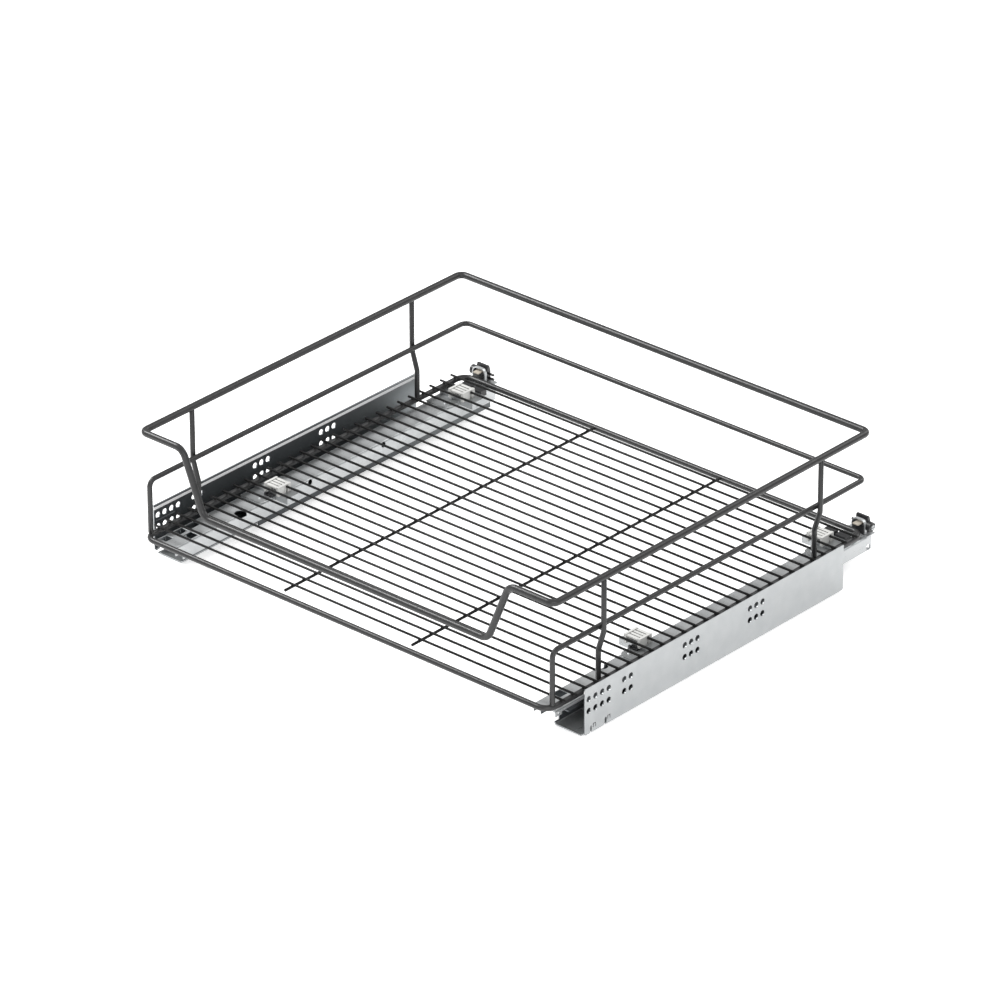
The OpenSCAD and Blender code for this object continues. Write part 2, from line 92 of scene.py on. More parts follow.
# Noise of the finishes: detail, and the span of it that is spread out
BLOTCH_DETAIL = 4.0
BLOTCH_SPAN = (0.32, 0.68)
GRAIN_DETAIL = 6.0
GRAIN_ROUGHNESS = 0.6
GRAIN_SPAN = (0.3, 0.7)
BUMP_STRENGTH = 0.6

# Painted shade: share of a colour that is left, blend of the darkened rim, and how far a crevice's painted
# shade reaches
DARK_LEFT = 0.12
EDGE_SHADE_BLEND = 0.5
CREVICE_SHADE_REACH = 2.5
CREVICE_SHADE_SAMPLES = 4

# Painted shade in the channels: where it turns from near to far, in metres along Y, and the colour of the
# pale painted highlight along a crease
SHADE_FADE_SPAN = (0.04, 0.19)
CREASE_HIGHLIGHT_COLOUR = (0.95, 0.95, 0.95)

WHITE = (1.0, 1.0, 1.0, 1.0)


def mm(length: float) -> float:
    """Turns millimetres into metres."""
    return length * 0.001


def mm_point(place: tuple[float, float, float]) -> Vector:
    """Turns a point or a size in millimetres into a vector in metres."""
    return Vector(place) * 0.001


class Slot(str, Enum):
    """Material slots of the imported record."""

    COATING = "wire_coating"
    ZINC = "zinc_sheet"
    ROLLER = "roller_steel"
    NATURAL = "cage_plastic"
    BLACK = "black_plastic"
    PAD = "pad_plastic"


class Variant(str, Enum):
    """Copies of a slot's finish on some nodes: a lighter one that is painted light and a darker one that is
    painted shade.
    """

    SHADED_FINE_WIRE = "shaded_fine_wire"
    BRIGHT_ZINC = "bright_zinc"


class End(Enum):
    """Ends of the unit, as the nodes have them."""

    FRONT = "front"
    REAR = "rear"


class Side(Enum):
    """Sides of the unit, each with the sign of its X."""

    LEFT = -1.0
    RIGHT = 1.0

    @property
    def label(self) -> str:
        """Gives the side's name as the nodes have it."""
        return self.name.lower()


@dataclass(frozen=True)
class Finish:
    """One procedural finish.

    Args:
        colour: base colour, linear.
        tint: colour that the blotches lean to.
        rough: lowest and highest roughness.
        blotch_mm: size of the soft blotches.
        mottle: how strongly blotches change the colour.
        grain_mm: size of the fine grain.
        grain: depth of the fine grain, in millimetres.
        stretch: how much longer the grain runs along Y than across it.
        metallic: how metallic the surface is.
        specular: specular level of the shader.
        rim: how strongly painted shade darkens the colour where the surface turns away from the view.
        crevice_shade: how strongly painted shade darkens slits and corners.
    """

    colour: tuple[float, float, float]
    tint: tuple[float, float, float]
    rough: tuple[float, float]
    blotch_mm: float
    mottle: float
    grain_mm: float
    grain: float
    stretch: float = 1.0
    metallic: float = 0.0
    specular: float = 0.5
    rim: float = 0.0
    crevice_shade: float = 0.0


FINISHES: dict[str, Finish] = {
    # The coating's rim value paints shade along the wires' edges.
    Slot.COATING.value: Finish(
        colour=(0.032, 0.032, 0.033), tint=(0.048, 0.048, 0.049), rough=(0.28, 0.4), blotch_mm=9.0,
        mottle=0.7, grain_mm=0.35, grain=0.02, specular=0.42, rim=0.85,
    ),
    # Painted shade: a darker copy of the coating for the thin floor and lengthwise wires.
    Variant.SHADED_FINE_WIRE.value: Finish(
        colour=(0.010, 0.010, 0.010), tint=(0.018, 0.018, 0.018), rough=(0.34, 0.5), blotch_mm=9.0,
        mottle=0.7, grain_mm=0.35, grain=0.02, specular=0.2, rim=0.9,
    ),
    Slot.ZINC.value: Finish(
        colour=(0.47, 0.485, 0.49), tint=(0.40, 0.415, 0.425), rough=(0.3, 0.44), blotch_mm=14.0,
        mottle=0.5, grain_mm=0.5, grain=0.008, stretch=18.0, metallic=0.7, crevice_shade=0.35,
    ),
    # Painted light: a lighter copy of the zinc for the drawer profiles and rear catches.
    Variant.BRIGHT_ZINC.value: Finish(
        colour=(0.58, 0.595, 0.60), tint=(0.50, 0.515, 0.525), rough=(0.26, 0.4), blotch_mm=14.0,
        mottle=0.5, grain_mm=0.5, grain=0.008, stretch=18.0, metallic=0.6, crevice_shade=0.35,
    ),
    Slot.ROLLER.value: Finish(
        colour=(0.62, 0.62, 0.62), tint=(0.5, 0.5, 0.5), rough=(0.18, 0.3), blotch_mm=4.0,
        mottle=0.4, grain_mm=0.3, grain=0.004, metallic=1.0,
    ),
    # Painted shade: the clips' slits are darkened almost to black.
    Slot.NATURAL.value: Finish(
        colour=(0.68, 0.68, 0.66), tint=(0.61, 0.61, 0.59), rough=(0.4, 0.52), blotch_mm=6.0,
        mottle=0.4, grain_mm=0.4, grain=0.012, crevice_shade=0.95,
    ),
    Slot.BLACK.value: Finish(
        colour=(0.012, 0.012, 0.014), tint=(0.022, 0.023, 0.026), rough=(0.3, 0.45), blotch_mm=5.0,
        mottle=0.6, grain_mm=0.3, grain=0.015,
    ),
    Slot.PAD.value: Finish(
        colour=(0.60, 0.54, 0.46), tint=(0.5, 0.45, 0.38), rough=(0.4, 0.55), blotch_mm=6.0,
        mottle=0.5, grain_mm=0.4, grain=0.015,
    ),
}


@dataclass(frozen=True)
class Film:
    """Zone of a sheet-metal node with dark painted shade in its colour, such as the inside of a channel.

    Args:
        near: colour of the painted shade at the front end.
        far: its colour further back.
        inner: smallest distance from the middle of the unit, in metres as all that follows.
        outer: largest distance from the middle.
        low: lowest height.
        high: greatest height.
        crease: lowest and greatest height of a pale painted highlight along a crease, above the unit if it
            has none.
    """

    near: tuple[float, float, float]
    far: tuple[float, float, float]
    inner: float = 0.0
    outer: float = 1.0
    low: float = -1.0
    high: float = 1.0
    crease: tuple[float, float] = (2.0, 2.0)

    def inputs(self) -> dict[str, float | tuple[float, float, float, float]]:
        """Gives the painted shade's values under the names of the node group's inputs.

        Returns:
            The names with their values.
        """
        return {
            "Near": (*self.near, 1.0), "Far": (*self.far, 1.0), "Inner": self.inner, "Outer": self.outer,
            "Low": self.low, "High": self.high, "Crease Low": self.crease[0], "Crease High": self.crease[1],
        }


# Painted shade inside the channels, darker at the front than further back; the cabinet profile's zone also
# has a painted highlight along its top crease.
PAINTED_SHADES: dict[str, Film] = {
    "cabinet_profile": Film((0.12, 0.13, 0.138), (0.34, 0.36, 0.37), outer=0.2813, low=0.003,
                            crease=(0.0466, 0.0497)),
    "drawer_profile": Film((0.16, 0.175, 0.185), (0.58, 0.61, 0.62), inner=0.2342, outer=0.2611, high=0.028),
    "middle_profile": Film((0.06, 0.066, 0.07), (0.15, 0.16, 0.165)),
}


def add_sockets(group: bpy.types.NodeTree, in_out: str, kinds: dict[str, str]) -> None:
    """Adds sockets to a node group.

    Args:
        group: the node group.
        in_out: INPUT or OUTPUT.
        kinds: names of the sockets with their kinds, such as Float.
    """
    for name, kind in kinds.items():
        group.interface.new_socket(name=name, in_out=in_out, socket_type=f"NodeSocket{kind}")


def calculate(tree: bpy.types.NodeTree, operation: str, first: bpy.types.NodeSocket,
              second: bpy.types.NodeSocket | float | None = None) -> bpy.types.NodeSocket:
    """Adds a math node to a node tree.

    Args:
        tree: the node tree.
        operation: what it does, such as MULTIPLY.
        first: socket of the first value.
        second: socket or number of the second value, if it takes two.

    Returns:
        The socket of the result.
    """
    node = tree.nodes.new("ShaderNodeMath")
    node.operation = operation
    tree.links.new(first, node.inputs[0])
    if isinstance(second, (int, float)):
        node.inputs[1].default_value = second
    elif second is not None:
        tree.links.new(second, node.inputs[1])
    return node.outputs[0]


def between(tree: bpy.types.NodeTree, value: bpy.types.NodeSocket, low: bpy.types.NodeSocket,
            high: bpy.types.NodeSocket) -> bpy.types.NodeSocket:
    """Adds nodes that give 1 where a value lies between two others, and 0 elsewhere.

    Args:
        tree: the node tree.
        value: socket of the value.
        low: socket of the lower limit.
        high: socket of the upper limit.

    Returns:
        The socket of the result.
    """
    return calculate(tree, "MULTIPLY", calculate(tree, "LESS_THAN", value, high),
                     calculate(tree, "GREATER_THAN", value, low))


def remap(tree: bpy.types.NodeTree, value: bpy.types.NodeSocket,
          span: tuple[float, float]) -> bpy.types.ShaderNode:
    """Adds a node that spreads a span of values over 0 to 1, or over what its inputs say.

    Args:
        tree: the node tree.
        value: socket of the value.
        span: lowest and highest value of the span.

    Returns:
        The node.
    """
    node = tree.nodes.new("ShaderNodeMapRange")
    node.inputs["From Min"].default_value, node.inputs["From Max"].default_value = span
    tree.links.new(value, node.inputs["Value"])
    return node


def mix_colours(tree: bpy.types.NodeTree, share: bpy.types.NodeSocket, first: bpy.types.NodeSocket,
                second: bpy.types.NodeSocket | tuple[float, float, float],
                blend: str = "MIX") -> bpy.types.NodeSocket:
    """Adds a node that mixes two colours.

    Args:
        tree: the node tree.
        share: socket of the second colour's share, 0 to 1.
        first: socket of the first colour.
        second: socket of the second colour, or the colour itself.
        blend: how the second colour is laid over the first.

    Returns:
        The socket of the mixed colour.
    """
    mix = tree.nodes.new("ShaderNodeMix")
    mix.data_type = "RGBA"
    mix.blend_type = blend
    tree.links.new(share, mix.inputs[MIX_FACTOR])
    tree.links.new(first, mix.inputs[MIX_FIRST])
    if isinstance(second, tuple):
        mix.inputs[MIX_SECOND].default_value = (*second, 1.0)
    else:
        tree.links.new(second, mix.inputs[MIX_SECOND])
    return mix.outputs[MIX_RESULT]


def paint_shade(tree: bpy.types.NodeTree, colour: bpy.types.NodeSocket,
           amount: bpy.types.NodeSocket) -> bpy.types.NodeSocket:
    """Paints shade: mixes a colour towards a darker shade of itself.

    Args:
        tree: the node tree.
        colour: socket of the colour.
        amount: socket of the factor, 0 to 1.

    Returns:
        The socket of the new colour.
    """
    return mix_colours(tree, amount, colour, (DARK_LEFT, DARK_LEFT, DARK_LEFT), "MULTIPLY")


def surface_group() -> bpy.types.NodeTree:
    """Makes the node group that every finish shares: soft blotches and fine grain.

    Returns:
        The node group, with colour, roughness and height outputs.
    """
    group = bpy.data.node_groups.new("surface_variation", "ShaderNodeTree")
    add_sockets(group, "INPUT", {
        "Colour": "Color", "Tint": "Color", "Mottle": "Float", "Blotch": "Float", "Grain": "Float",
        "Stretch": "Vector", "Smooth": "Float", "Rough": "Float",
    })
    add_sockets(group, "OUTPUT", {"Colour": "Color", "Roughness": "Float", "Height": "Float"})
    nodes, links = group.nodes, group.links
    inputs = nodes.new("NodeGroupInput").outputs
    outputs = nodes.new("NodeGroupOutput").inputs
    place = nodes.new("ShaderNodeTexCoord").outputs["Object"]
    blotch = nodes.new("ShaderNodeTexNoise")
    blotch.inputs["Detail"].default_value = BLOTCH_DETAIL
    links.new(place, blotch.inputs["Vector"])
    links.new(inputs["Blotch"], blotch.inputs["Scale"])
    amount = remap(group, blotch.outputs["Fac"], BLOTCH_SPAN)
    links.new(inputs["Mottle"], amount.inputs["To Max"])
    mixed = mix_colours(group, amount.outputs["Result"], inputs["Colour"], inputs["Tint"])
    links.new(mixed, outputs["Colour"])
    stretched = nodes.new("ShaderNodeVectorMath")
    stretched.operation = "MULTIPLY"
    links.new(place, stretched.inputs[0])
    links.new(inputs["Stretch"], stretched.inputs[1])
    grain = nodes.new("ShaderNodeTexNoise")
    grain.inputs["Detail"].default_value = GRAIN_DETAIL
    grain.inputs["Roughness"].default_value = GRAIN_ROUGHNESS
    links.new(stretched.outputs[0], grain.inputs["Vector"])
    links.new(inputs["Grain"], grain.inputs["Scale"])
    rough = remap(group, grain.outputs["Fac"], GRAIN_SPAN)
    links.new(inputs["Smooth"], rough.inputs["To Min"])
    links.new(inputs["Rough"], rough.inputs["To Max"])
    links.new(rough.outputs["Result"], outputs["Roughness"])
    links.new(grain.outputs["Fac"], outputs["Height"])
    return group


def shade_group() -> bpy.types.NodeTree:
    """Makes the node group of painted shade inside the channels, paler towards their rear ends, with a
    painted highlight along a crease.

    Returns:
        The node group: its factors are 1 inside the zone and in the crease, and its colour is the painted
            shade with the crease's painted highlight.
    """
    group = bpy.data.node_groups.new("painted_channel_shade", "ShaderNodeTree")
    add_sockets(group, "INPUT", {
        "Near": "Color", "Far": "Color", "Inner": "Float", "Outer": "Float", "Low": "Float", "High": "Float",
        "Crease Low": "Float", "Crease High": "Float",
    })
    add_sockets(group, "OUTPUT", {"Factor": "Float", "Film": "Color", "Crease": "Float"})
    nodes, links = group.nodes, group.links
    inputs = nodes.new("NodeGroupInput").outputs
    outputs = nodes.new("NodeGroupOutput").inputs
    split = nodes.new("ShaderNodeSeparateXYZ")
    links.new(nodes.new("ShaderNodeTexCoord").outputs["Object"], split.inputs[0])
    aside = calculate(group, "ABSOLUTE", split.outputs["X"])
    height = split.outputs["Z"]
    across = between(group, aside, inputs["Inner"], inputs["Outer"])
    upward = between(group, height, inputs["Low"], inputs["High"])
    links.new(calculate(group, "MULTIPLY", across, upward), outputs["Factor"])
    # Painted highlight: a pale band along the crease
    crease_highlight = calculate(group, "MULTIPLY",
                        between(group, height, inputs["Crease Low"], inputs["Crease High"]), across)
    links.new(crease_highlight, outputs["Crease"])
    # Painted shade, turning from the near colour at the front to the far colour further back
    ramp = remap(group, split.outputs["Y"], SHADE_FADE_SPAN)
    ramp.interpolation_type = "SMOOTHSTEP"
    shade_colour = mix_colours(group, ramp.outputs["Result"], inputs["Near"], inputs["Far"])
    links.new(mix_colours(group, crease_highlight, shade_colour, CREASE_HIGHLIGHT_COLOUR), outputs["Film"])
    return group


class Palette:
    """Makes each finish once and hands out its material."""

    def __init__(self) -> None:
        """Makes the node groups that the finishes share."""
        self.variation = surface_group()
        self.painted_channel_shade = shade_group()
        self.made: dict[str, bpy.types.Material] = {}

    def material(self, slot: str, film: str = "") -> bpy.types.Material:
        """Gives the material of a record slot or of a variant.

        Args:
            slot: the record's material slot, or the variant's name.
            film: name of the zone of painted shade that the material also shows, if any.

        Returns:
            The material.
        """
        key = f"{slot}_{film}" if film else slot
        if key not in self.made:
            self.made[key] = self._build(FINISHES[slot], key, PAINTED_SHADES.get(film))
        return self.made[key]

    def _build(self, finish: Finish, name: str, film: Film | None) -> bpy.types.Material:
        """Builds the material of a finish.

        Args:
            finish: the finish.
            name: name of the material.
            film: zone of painted shade that it also shows, if any.

        Returns:
            The material.
        """
        material = bpy.data.materials.new(name)
        material.use_nodes = True
        tree = material.node_tree
        nodes, links = tree.nodes, tree.links
        shader = nodes["Principled BSDF"]
        shader.inputs["Metallic"].default_value = finish.metallic
        shader.inputs["Specular IOR Level"].default_value = finish.specular
        vary = self._varied(tree, finish)
        colour = vary.outputs["Colour"]
        # Painted shade of the channel zone, with the crease's painted highlight
        if film is not None:
            colour, crease_highlight = self._shaded(tree, colour, film)
            # The painted highlight also drops the metallic level, so the crease reads pale
            metal = calculate(tree, "MULTIPLY", crease_highlight, -finish.metallic)
            links.new(calculate(tree, "ADD", metal, finish.metallic), shader.inputs["Metallic"])
        # Painted shade: the colour darkens towards edges that turn away from the view, so wires read dark at
        # their edges
        if finish.rim > 0:
            weight = nodes.new("ShaderNodeLayerWeight")
            weight.inputs["Blend"].default_value = EDGE_SHADE_BLEND
            colour = paint_shade(tree, colour, calculate(tree, "MULTIPLY", weight.outputs["Facing"], finish.rim))
        # Painted shade in slits and corners, from ambient occlusion within a short reach
        if finish.crevice_shade > 0:
            shade = nodes.new("ShaderNodeAmbientOcclusion")
            shade.samples = CREVICE_SHADE_SAMPLES
            shade.inputs["Distance"].default_value = mm(CREVICE_SHADE_REACH)
            hidden = calculate(tree, "SUBTRACT", shade.outputs["AO"], 1.0)
            colour = paint_shade(tree, colour, calculate(tree, "MULTIPLY", hidden, -finish.crevice_shade))
        links.new(colour, shader.inputs["Base Color"])
        links.new(vary.outputs["Roughness"], shader.inputs["Roughness"])
        bump = nodes.new("ShaderNodeBump")
        bump.inputs["Strength"].default_value = BUMP_STRENGTH
        bump.inputs["Distance"].default_value = mm(finish.grain)
        links.new(vary.outputs["Height"], bump.inputs["Height"])
        links.new(bump.outputs["Normal"], shader.inputs["Normal"])
        return material

    def _varied(self, tree: bpy.types.NodeTree, finish: Finish) -> bpy.types.ShaderNode:
        """Adds the blotches and the grain of a finish.

        Args:
            tree: node tree of the material.
            finish: the finish.

        Returns:
            The node, with colour, roughness and height outputs.
        """
        vary = tree.nodes.new("ShaderNodeGroup")
        vary.node_tree = self.variation
        for name, value in {
            "Colour": (*finish.colour, 1.0), "Tint": (*finish.tint, 1.0), "Mottle": finish.mottle,
            "Blotch": 1.0 / mm(finish.blotch_mm), "Grain": 1.0 / mm(finish.grain_mm),
            "Stretch": (1.0, 1.0 / finish.stretch, 1.0), "Smooth": finish.rough[0], "Rough": finish.rough[1],
        }.items():
            vary.inputs[name].default_value = value
        return vary

    def _shaded(self, tree: bpy.types.NodeTree, colour: bpy.types.NodeSocket,
                film: Film) -> tuple[bpy.types.NodeSocket, bpy.types.NodeSocket]:
        """Mixes painted shade, and the pale painted highlight of a crease, into a colour.

        Args:
            tree: node tree of the material.
            colour: socket of the bare metal's colour.
            film: zone and colours of the painted shade.

        Returns:
            The sockets of the new colour and of the factor of the crease's painted highlight.
        """
        zone = tree.nodes.new("ShaderNodeGroup")
        zone.node_tree = self.painted_channel_shade
        for name, value in film.inputs().items():
            zone.inputs[name].default_value = value
        mixed = mix_colours(tree, zone.outputs["Factor"], colour, zone.outputs["Film"])
        return mixed, zone.outputs["Crease"]


def bend(before: Vector, corner: Vector, after: Vector, radius: float) -> list[Vector]:
    """Gives the points of a round bend.

    Args:
        before: the point before the corner.
        corner: the corner.
        after: the point after the corner.
        radius: radius of the bend's middle line, in metres.

    Returns:
        Points along the bend.
    """
    a = (before - corner).normalized()
    b = (after - corner).normalized()
    half = a.angle(b) / 2
    centre = corner + (a + b).normalized() * (radius / math.sin(half))
    arm = corner + a * (radius / math.tan(half)) - centre
    turn = math.pi - 2 * half
    return [
        centre + arm * math.cos(turn * i / BEND_STEPS) - a * (radius * math.sin(turn * i / BEND_STEPS))
        for i in range(BEND_STEPS + 1)
    ]


def bridge(mesh: bmesh.types.BMesh, here: list[bmesh.types.BMVert], there: list[bmesh.types.BMVert]) -> None:
    """Joins two rings of equal length with faces.

    Args:
        mesh: the mesh.
        here: first ring.
        there: second ring.
    """
    for k in range(len(here)):
        near = (k + 1) % len(here)
        mesh.faces.new((here[k], here[near], there[near], there[k]))


def tube_into(mesh: bmesh.types.BMesh, points: list[Vector], radius: float, closed: bool) -> None:
    """Adds a smooth tube along a path, with softly rounded ends where it is open.

    Args:
        mesh: the mesh that the tube is added to.
        points: middle line.
        radius: radius of the tube, in metres.
        closed: whether the ends meet.
    """
    if not closed:
        start = (points[1] - points[0]).normalized()
        stop = (points[-1] - points[-2]).normalized()
        points = [points[0], points[0] + start * radius * END_LENGTH, *points[1:-1],
                  points[-1] - stop * radius * END_LENGTH, points[-1]]
    count = len(points)
    side = Vector((0.0, 0.0, 1.0))
    rings: list[list[bmesh.types.BMVert]] = []
    for i, point in enumerate(points):
        ahead = points[(i + 1) % count] if closed or i < count - 1 else point
        behind = points[i - 1] if closed or i > 0 else point
        along = (ahead - behind).normalized()
        if i == 0 and abs(side.dot(along)) > STEEP:
            side = Vector((1.0, 0.0, 0.0))
        side = (side - along * side.dot(along)).normalized()
        up = along.cross(side)
        size = radius * (END_SIZE if not closed and i in (0, count - 1) else 1.0)
        rings.append([
            mesh.verts.new(point + (side * math.cos(turn) + up * math.sin(turn)) * size)
            for turn in (2 * math.pi * k / TUBE_SIDES for k in range(TUBE_SIDES))
        ])
    for i in range(count if closed else count - 1):
        bridge(mesh, rings[i], rings[(i + 1) % count])
    if not closed:
        mesh.faces.new(rings[0][::-1])
        mesh.faces.new(rings[-1])


def nugget_into(mesh: bmesh.types.BMesh, place: Vector, size: Vector, rng: random.Random) -> None:
    """Adds one weld nugget, a small uneven lump where two wires are fused.

    Args:
        mesh: the mesh that it is added to.
        place: its middle.
        size: its half sizes, in metres.
        rng: source of its small differences.
    """
    turn = Matrix.Rotation(rng.uniform(-NUGGET_TURN, NUGGET_TURN), 4, "Z")
    scale = Matrix.Diagonal((*(size * rng.uniform(*NUGGET_SHARE)), 1.0))
    bmesh.ops.create_icosphere(mesh, subdivisions=2, radius=1.0,
                               matrix=Matrix.Translation(place) @ turn @ scale)


def dome_into(mesh: bmesh.types.BMesh, foot: Vector, radius: float, height: float, steps: int,
              sides: int) -> None:
    """Adds a domed rivet head.

    Args:
        mesh: the mesh that it is added to.
        foot: middle of its underside.
        radius: its radius, in metres.
        height: height that the dome would reach at its crown, in metres.
        steps: rings from the foot upwards.
        sides: corners of a ring.
    """
    rings = []
    for i in range(steps):
        turn = math.pi / 2 * i / steps
        level, size = height * math.sin(turn), radius * math.cos(turn)
        rings.append([
            mesh.verts.new(foot + Vector((size * math.cos(a), size * math.sin(a), level)))
            for a in (2 * math.pi * k / sides for k in range(sides))
        ])
    for lower, upper in zip(rings, rings[1:]):
        bridge(mesh, lower, upper)
    mesh.faces.new(rings[-1])
    mesh.faces.new(rings[0][::-1])


def new_piece(name: str, mesh: bmesh.types.BMesh, material: bpy.types.Material, body: str,
              nodes: tuple[str, ...] = ()) -> bpy.types.Object:
    """Turns a mesh into a piece of the object.

    Args:
        name: name of the piece.
        mesh: its mesh, which is freed here.
        material: its material.
        body: CAD body that it rides on.
        nodes: CAD nodes that it replaces.

    Returns:
        The new object.
    """
    bmesh.ops.recalc_face_normals(mesh, faces=mesh.faces)
    data = bpy.data.meshes.new(name)
    mesh.to_mesh(data)
    mesh.free()
    data.set_sharp_from_angle(angle=math.radians(SMOOTH_ANGLE))
    for polygon in data.polygons:
        polygon.use_smooth = True
    data.materials.append(material)
    piece = bpy.data.objects.new(name, data)
    bpy.context.scene.collection.objects.link(piece)
    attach(piece, body)
    if nodes:
        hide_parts(*nodes)
    return piece


@dataclass
class Wire:
    """A bent wire of the basket.

    Args:
        name: name of the piece.
        corners: corners of its middle line.
        radii: bend radius at each corner.
        diameter: wire diameter in millimetres.
        closed: whether its ends meet.
        node: CAD node that it replaces.
    """

    name: str
    corners: list[Vector]
    radii: list[float]
    diameter: float
    closed: bool
    node: str

    def path(self) -> list[Vector]:
        """Gives the wire's middle line.

        Returns:
            The points of the line.
        """
        count = len(self.corners)
        points: list[Vector] = []
        for i, corner in enumerate(self.corners):
            if self.radii[i] <= 0 or (not self.closed and i in (0, count - 1)):
                points.append(corner)
            else:
                points += bend(self.corners[i - 1], corner, self.corners[(i + 1) % count], mm(self.radii[i]))
        return points

    def build(self, material: bpy.types.Material) -> bpy.types.Object:
        """Builds the wire's piece.

        Args:
            material: its material.

        Returns:
            The piece.
        """
        mesh = bmesh.new()
        tube_into(mesh, self.path(), mm(self.diameter / 2), self.closed)
        return new_piece(self.name, mesh, material, DRAWER, (self.node,))


@dataclass
class Basket:
    """The welded wire basket: rails, rim, uprights, floor and weld nuggets.

    Args:
        palette: the finishes.
        top_wire: wire diameter of the top rail.
        rim_wire: wire diameter of the base rim.
        rail_wire: wire diameter of the middle rail and the uprights.
        floor_wire: wire diameter of the floor wires.
        long_wire: wire diameter of the lengthwise wires.
        floor_count: number of floor wires.
        rim_bend: bend radius of the base rim.
        rail_bend: bend radius of the rails' corners.
        dip_bend: bend radius where the front of the top rail is lowered.
        dip_from: distance from the rail's side to the upper end of the slope.
        dip_run: width of the slope.
        sunk: how far a wire's foot goes past its node's, into the rim.
        over: how far an upright's head goes past its node's, into the top rail.
        jog_below: distance from the middle rail down to the upright's joggle.
        jog_drop: height of the joggle.
        jog_bend: bend radius of the joggle.
        rim_nugget: half sizes of the weld nuggets at the rim.
        long_nugget: half sizes of the weld nuggets at the lengthwise wires.
    """

    palette: Palette
    top_wire: float = 7.2
    rim_wire: float = 6.0
    rail_wire: float = 5.4
    floor_wire: float = 2.5
    long_wire: float = 3.0
    floor_count: int = 28
    rim_bend: float = 12.0
    rail_bend: float = 7.5
    dip_bend: float = 13.0
    dip_from: float = 55.0
    dip_run: float = 27.0
    sunk: float = 0.6
    over: float = 1.0
    jog_below: float = 4.1
    jog_drop: float = 22.0
    jog_bend: float = 8.0
    rim_nugget: tuple[float, float, float] = (1.5, 1.6, 0.8)
    long_nugget: tuple[float, float, float] = (1.2, 1.5, 0.7)

    def base_rim(self) -> Wire:
        """Gives the closed loop that the floor wires are welded to.

        Returns:
            The wire, with its corners taken from the node's box.
        """
        low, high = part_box("base_rim")
        r = mm(self.rim_wire / 2)
        x, y0, y1, z = high.x - r, low.y + r, high.y - r, (low.z + high.z) / 2
        corners = [Vector((-x, y0, z)), Vector((x, y0, z)), Vector((x, y1, z)), Vector((-x, y1, z))]
        return Wire("rim_wire", corners, [self.rim_bend] * 4, self.rim_wire, True, "base_rim")

    def top_rail(self) -> Wire:
        """Gives the top rail with its lowered front run.

        Returns:
            The wire, with its corners taken from the node's box.
        """
        low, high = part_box("top_rail")
        r = mm(self.top_wire / 2)
        x, y0, y1 = high.x - r, low.y + r, high.y - r
        z, dip = high.z - r, low.z + r
        dip_x = x - mm(self.dip_from)
        low_x = dip_x - mm(self.dip_run)
        corners = [
            Vector((-x, y0, z)), Vector((-dip_x, y0, z)), Vector((-low_x, y0, dip)), Vector((low_x, y0, dip)),
            Vector((dip_x, y0, z)), Vector((x, y0, z)), Vector((x, y1, z)), Vector((-x, y1, z)),
        ]
        radii = [self.rail_bend, *[self.dip_bend] * 4, *[self.rail_bend] * 3]
        return Wire("upper_rail", corners, radii, self.top_wire, True, "top_rail")

    def middle_rail(self) -> Wire:
        """Gives the middle rail, open at the front, with its two legs.

        Returns:
            The wire, with its corners taken from the node's box.
        """
        low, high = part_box("middle_rail")
        r = mm(self.rail_wire / 2)
        x, y0, y1 = high.x - r, low.y + r, high.y - r
        foot, z = low.z - mm(self.sunk), high.z - r
        corners = [Vector((-x, y0, foot)), Vector((-x, y0, z)), Vector((-x, y1, z)), Vector((x, y1, z)),
                   Vector((x, y0, z)), Vector((x, y0, foot))]
        radii = [0.0, *[self.rail_bend] * 4, 0.0]
        return Wire("side_rail", corners, radii, self.rail_wire, False, "middle_rail")

    def upright(self, end: End, side: Side) -> Wire:
        """Gives one upright, joggled inward below the middle rail.

        Args:
            end: its end of the unit.
            side: its side.

        Returns:
            The wire, with its corners taken from the node's box.
        """
        node = f"upright_{end.value}_{side.label}"
        low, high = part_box(node)
        r = mm(self.rail_wire / 2)
        outer = side.value * (max(abs(low.x), abs(high.x)) - r)
        inner = side.value * (min(abs(low.x), abs(high.x)) + r)
        y = (low.y + high.y) / 2
        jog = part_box("middle_rail")[1].z - r - mm(self.jog_below)
        corners = [Vector((outer, y, high.z + mm(self.over))), Vector((outer, y, jog)),
                   Vector((inner, y, jog - mm(self.jog_drop))), Vector((inner, y, low.z - mm(self.sunk)))]
        radii = [0.0, self.jog_bend, self.jog_bend, 0.0]
        return Wire(f"post_{end.value}_{side.label}", corners, radii, self.rail_wire, False, node)

    @staticmethod
    def straight(name: str, ends: list[list[Vector]], diameter: float, material: bpy.types.Material,
                 node: str) -> bpy.types.Object:
        """Builds one piece of straight wires.

        Args:
            name: name of the piece.
            ends: both ends of each wire.
            diameter: wire diameter in millimetres.
            material: their material.
            node: CAD node that the piece replaces.

        Returns:
            The piece.
        """
        mesh = bmesh.new()
        for pair in ends:
            tube_into(mesh, pair, mm(diameter / 2), False)
        return new_piece(name, mesh, material, DRAWER, (node,))

    def floor(self) -> list[bpy.types.Object]:
        """Builds the floor wires, the lengthwise wires under them and the weld nuggets.

        Returns:
            The pieces.
        """
